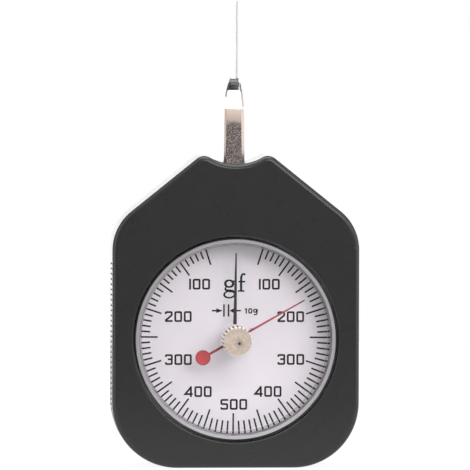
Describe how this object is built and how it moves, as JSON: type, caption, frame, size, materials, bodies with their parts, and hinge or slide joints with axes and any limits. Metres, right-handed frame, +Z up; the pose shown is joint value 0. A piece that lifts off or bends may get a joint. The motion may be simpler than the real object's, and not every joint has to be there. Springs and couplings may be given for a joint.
{
  "type": "dial tension gauge",
  "caption": "Hand-held dial force gauge: moulded case with a saddle top, swinging feeler lever, round dial with two pointers and a knurled reset knob.",
  "frame": {"origin": "middle of the flat bottom of the case, half way through its depth", "axes": "+Z up the case towards the feeler's tip, the dial faces -Y, +X to the reader's right"},
  "size_m": [0.062, 0.0262, 0.1169],
  "materials": {
    "case_plastic": "dark grey moulded case with a very fine satin grain",
    "bezel_metal": "satin ring round the dial",
    "crystal": "clear polished disc",
    "dial_white": "matt white with black scale",
    "pointer_black": "matt black",
    "pointer_red": "matt red",
    "knob_metal": "nickelled brass, turned end and knurled rim",
    "lever_steel": "milled stem with a dark grain on its flat",
    "feeler_steel": "bright ground needle",
    "steel": "turned steel",
    "screw_steel": "zinc plated",
    "spring_steel": "blued spring steel",
    "brass": "lacquered brass",
    "bronze": "sintered bronze",
    "spacer_plastic": "black moulded spacer"
  },
  "bodies": {
    "case": {"front_case": "case_plastic", "rear_cover": "case_plastic", "cover_screws": "screw_steel", "bezel": "bezel_metal", "bezel_screws": "screw_steel", "crystal": "crystal", "knob_bush": "brass", "dial": "dial_white", "dial_spacer": "spacer_plastic", "front_plate": "brass", "pillars": "brass", "rear_bridge": "brass", "bridge_screws": "screw_steel", "stop_pins": "steel", "lever_bush_front": "bronze", "lever_bush_rear": "bronze", "pinion_bush_front": "bronze", "pinion_bush_rear": "bronze", "leaf_springs": "spring_steel", "spring_clamp": "brass", "clamp_screws": "screw_steel", "zero_post": "steel", "hairspring": "spring_steel", "hairspring_stud": "brass"},
    "lever": {"lever_arm": "lever_steel", "lever_arbor": "steel", "sector_gear": "brass", "drive_pin": "steel", "fork_pin": "steel", "friction_washer": "spring_steel"},
    "feeler": {"feeler": "feeler_steel"},
    "pinion": {"pinion_arbor": "steel", "hairspring_collet": "brass", "main_pointer": "pointer_black"},
    "peak": {"reset_knob": "knob_metal", "peak_washer": "spring_steel", "peak_pointer": "pointer_red", "drag_pin": "steel"}
  },
  "joints": [
    {"name": "lever_swing", "type": "hinge", "parent": "case", "child": "lever", "pos_m": [0, 0, 0.0707], "axis": [0, 1, 0], "range_deg": [-12, 12], "stiffness_Nm_per_rad": 1.08, "deforming": ["leaf_springs"]},
    {"name": "pointer_spin", "type": "hinge", "parent": "case", "child": "pinion", "pos_m": [0, 0, 0.0323], "axis": [0, 1, 0], "range_deg": [-180, 180], "deforming": ["hairspring"]},
    {"name": "peak_reset", "type": "hinge", "parent": "case", "child": "peak", "pos_m": [0, 0, 0.0323], "axis": [0, 1, 0], "range_deg": [-52, 291]},
    {"name": "feeler_swivel", "type": "hinge", "parent": "lever", "child": "feeler", "pos_m": [0, 0.00015, 0.09586], "axis": [1, 0, 0], "range_deg": [-110, 110]}
  ],
  "couplings": [
    {"joint": "pointer_spin", "follows": "lever_swing", "ratio": -15}
  ]
}
